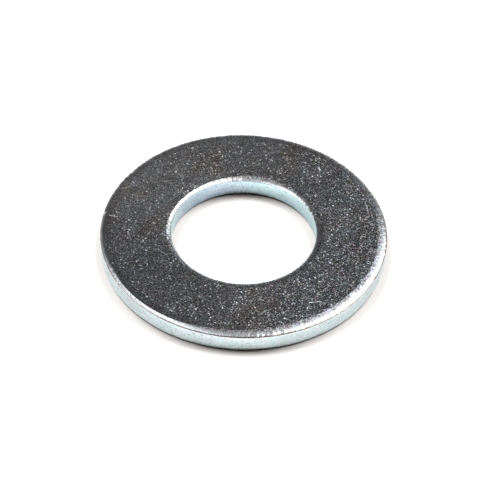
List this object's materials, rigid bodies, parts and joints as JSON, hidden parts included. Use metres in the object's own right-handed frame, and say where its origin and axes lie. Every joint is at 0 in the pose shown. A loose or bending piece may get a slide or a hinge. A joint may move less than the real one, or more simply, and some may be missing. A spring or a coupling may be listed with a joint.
{
  "type": "flat washer",
  "caption": "Plain flat steel ring with a round centre hole, zinc plated, which spreads the load of a bolt head or nut over the face under it.",
  "frame": {"origin": "on the bore's axis, in the lower bearing face", "axes": "+Z along the bore's axis, from the lower bearing face to the upper face with the rolled edges; +X and +Y are any two radial directions at a right angle"},
  "size_m": [0.0206, 0.0206, 0.0016],
  "materials": {
    "zinc_plate": "clear zinc plate on mild steel: fine-grained grey faces, bright rolled edges and pale burnished walls"
  },
  "bodies": {
    "root": {"flat_washer": "zinc_plate"}
  },
  "joints": []
}
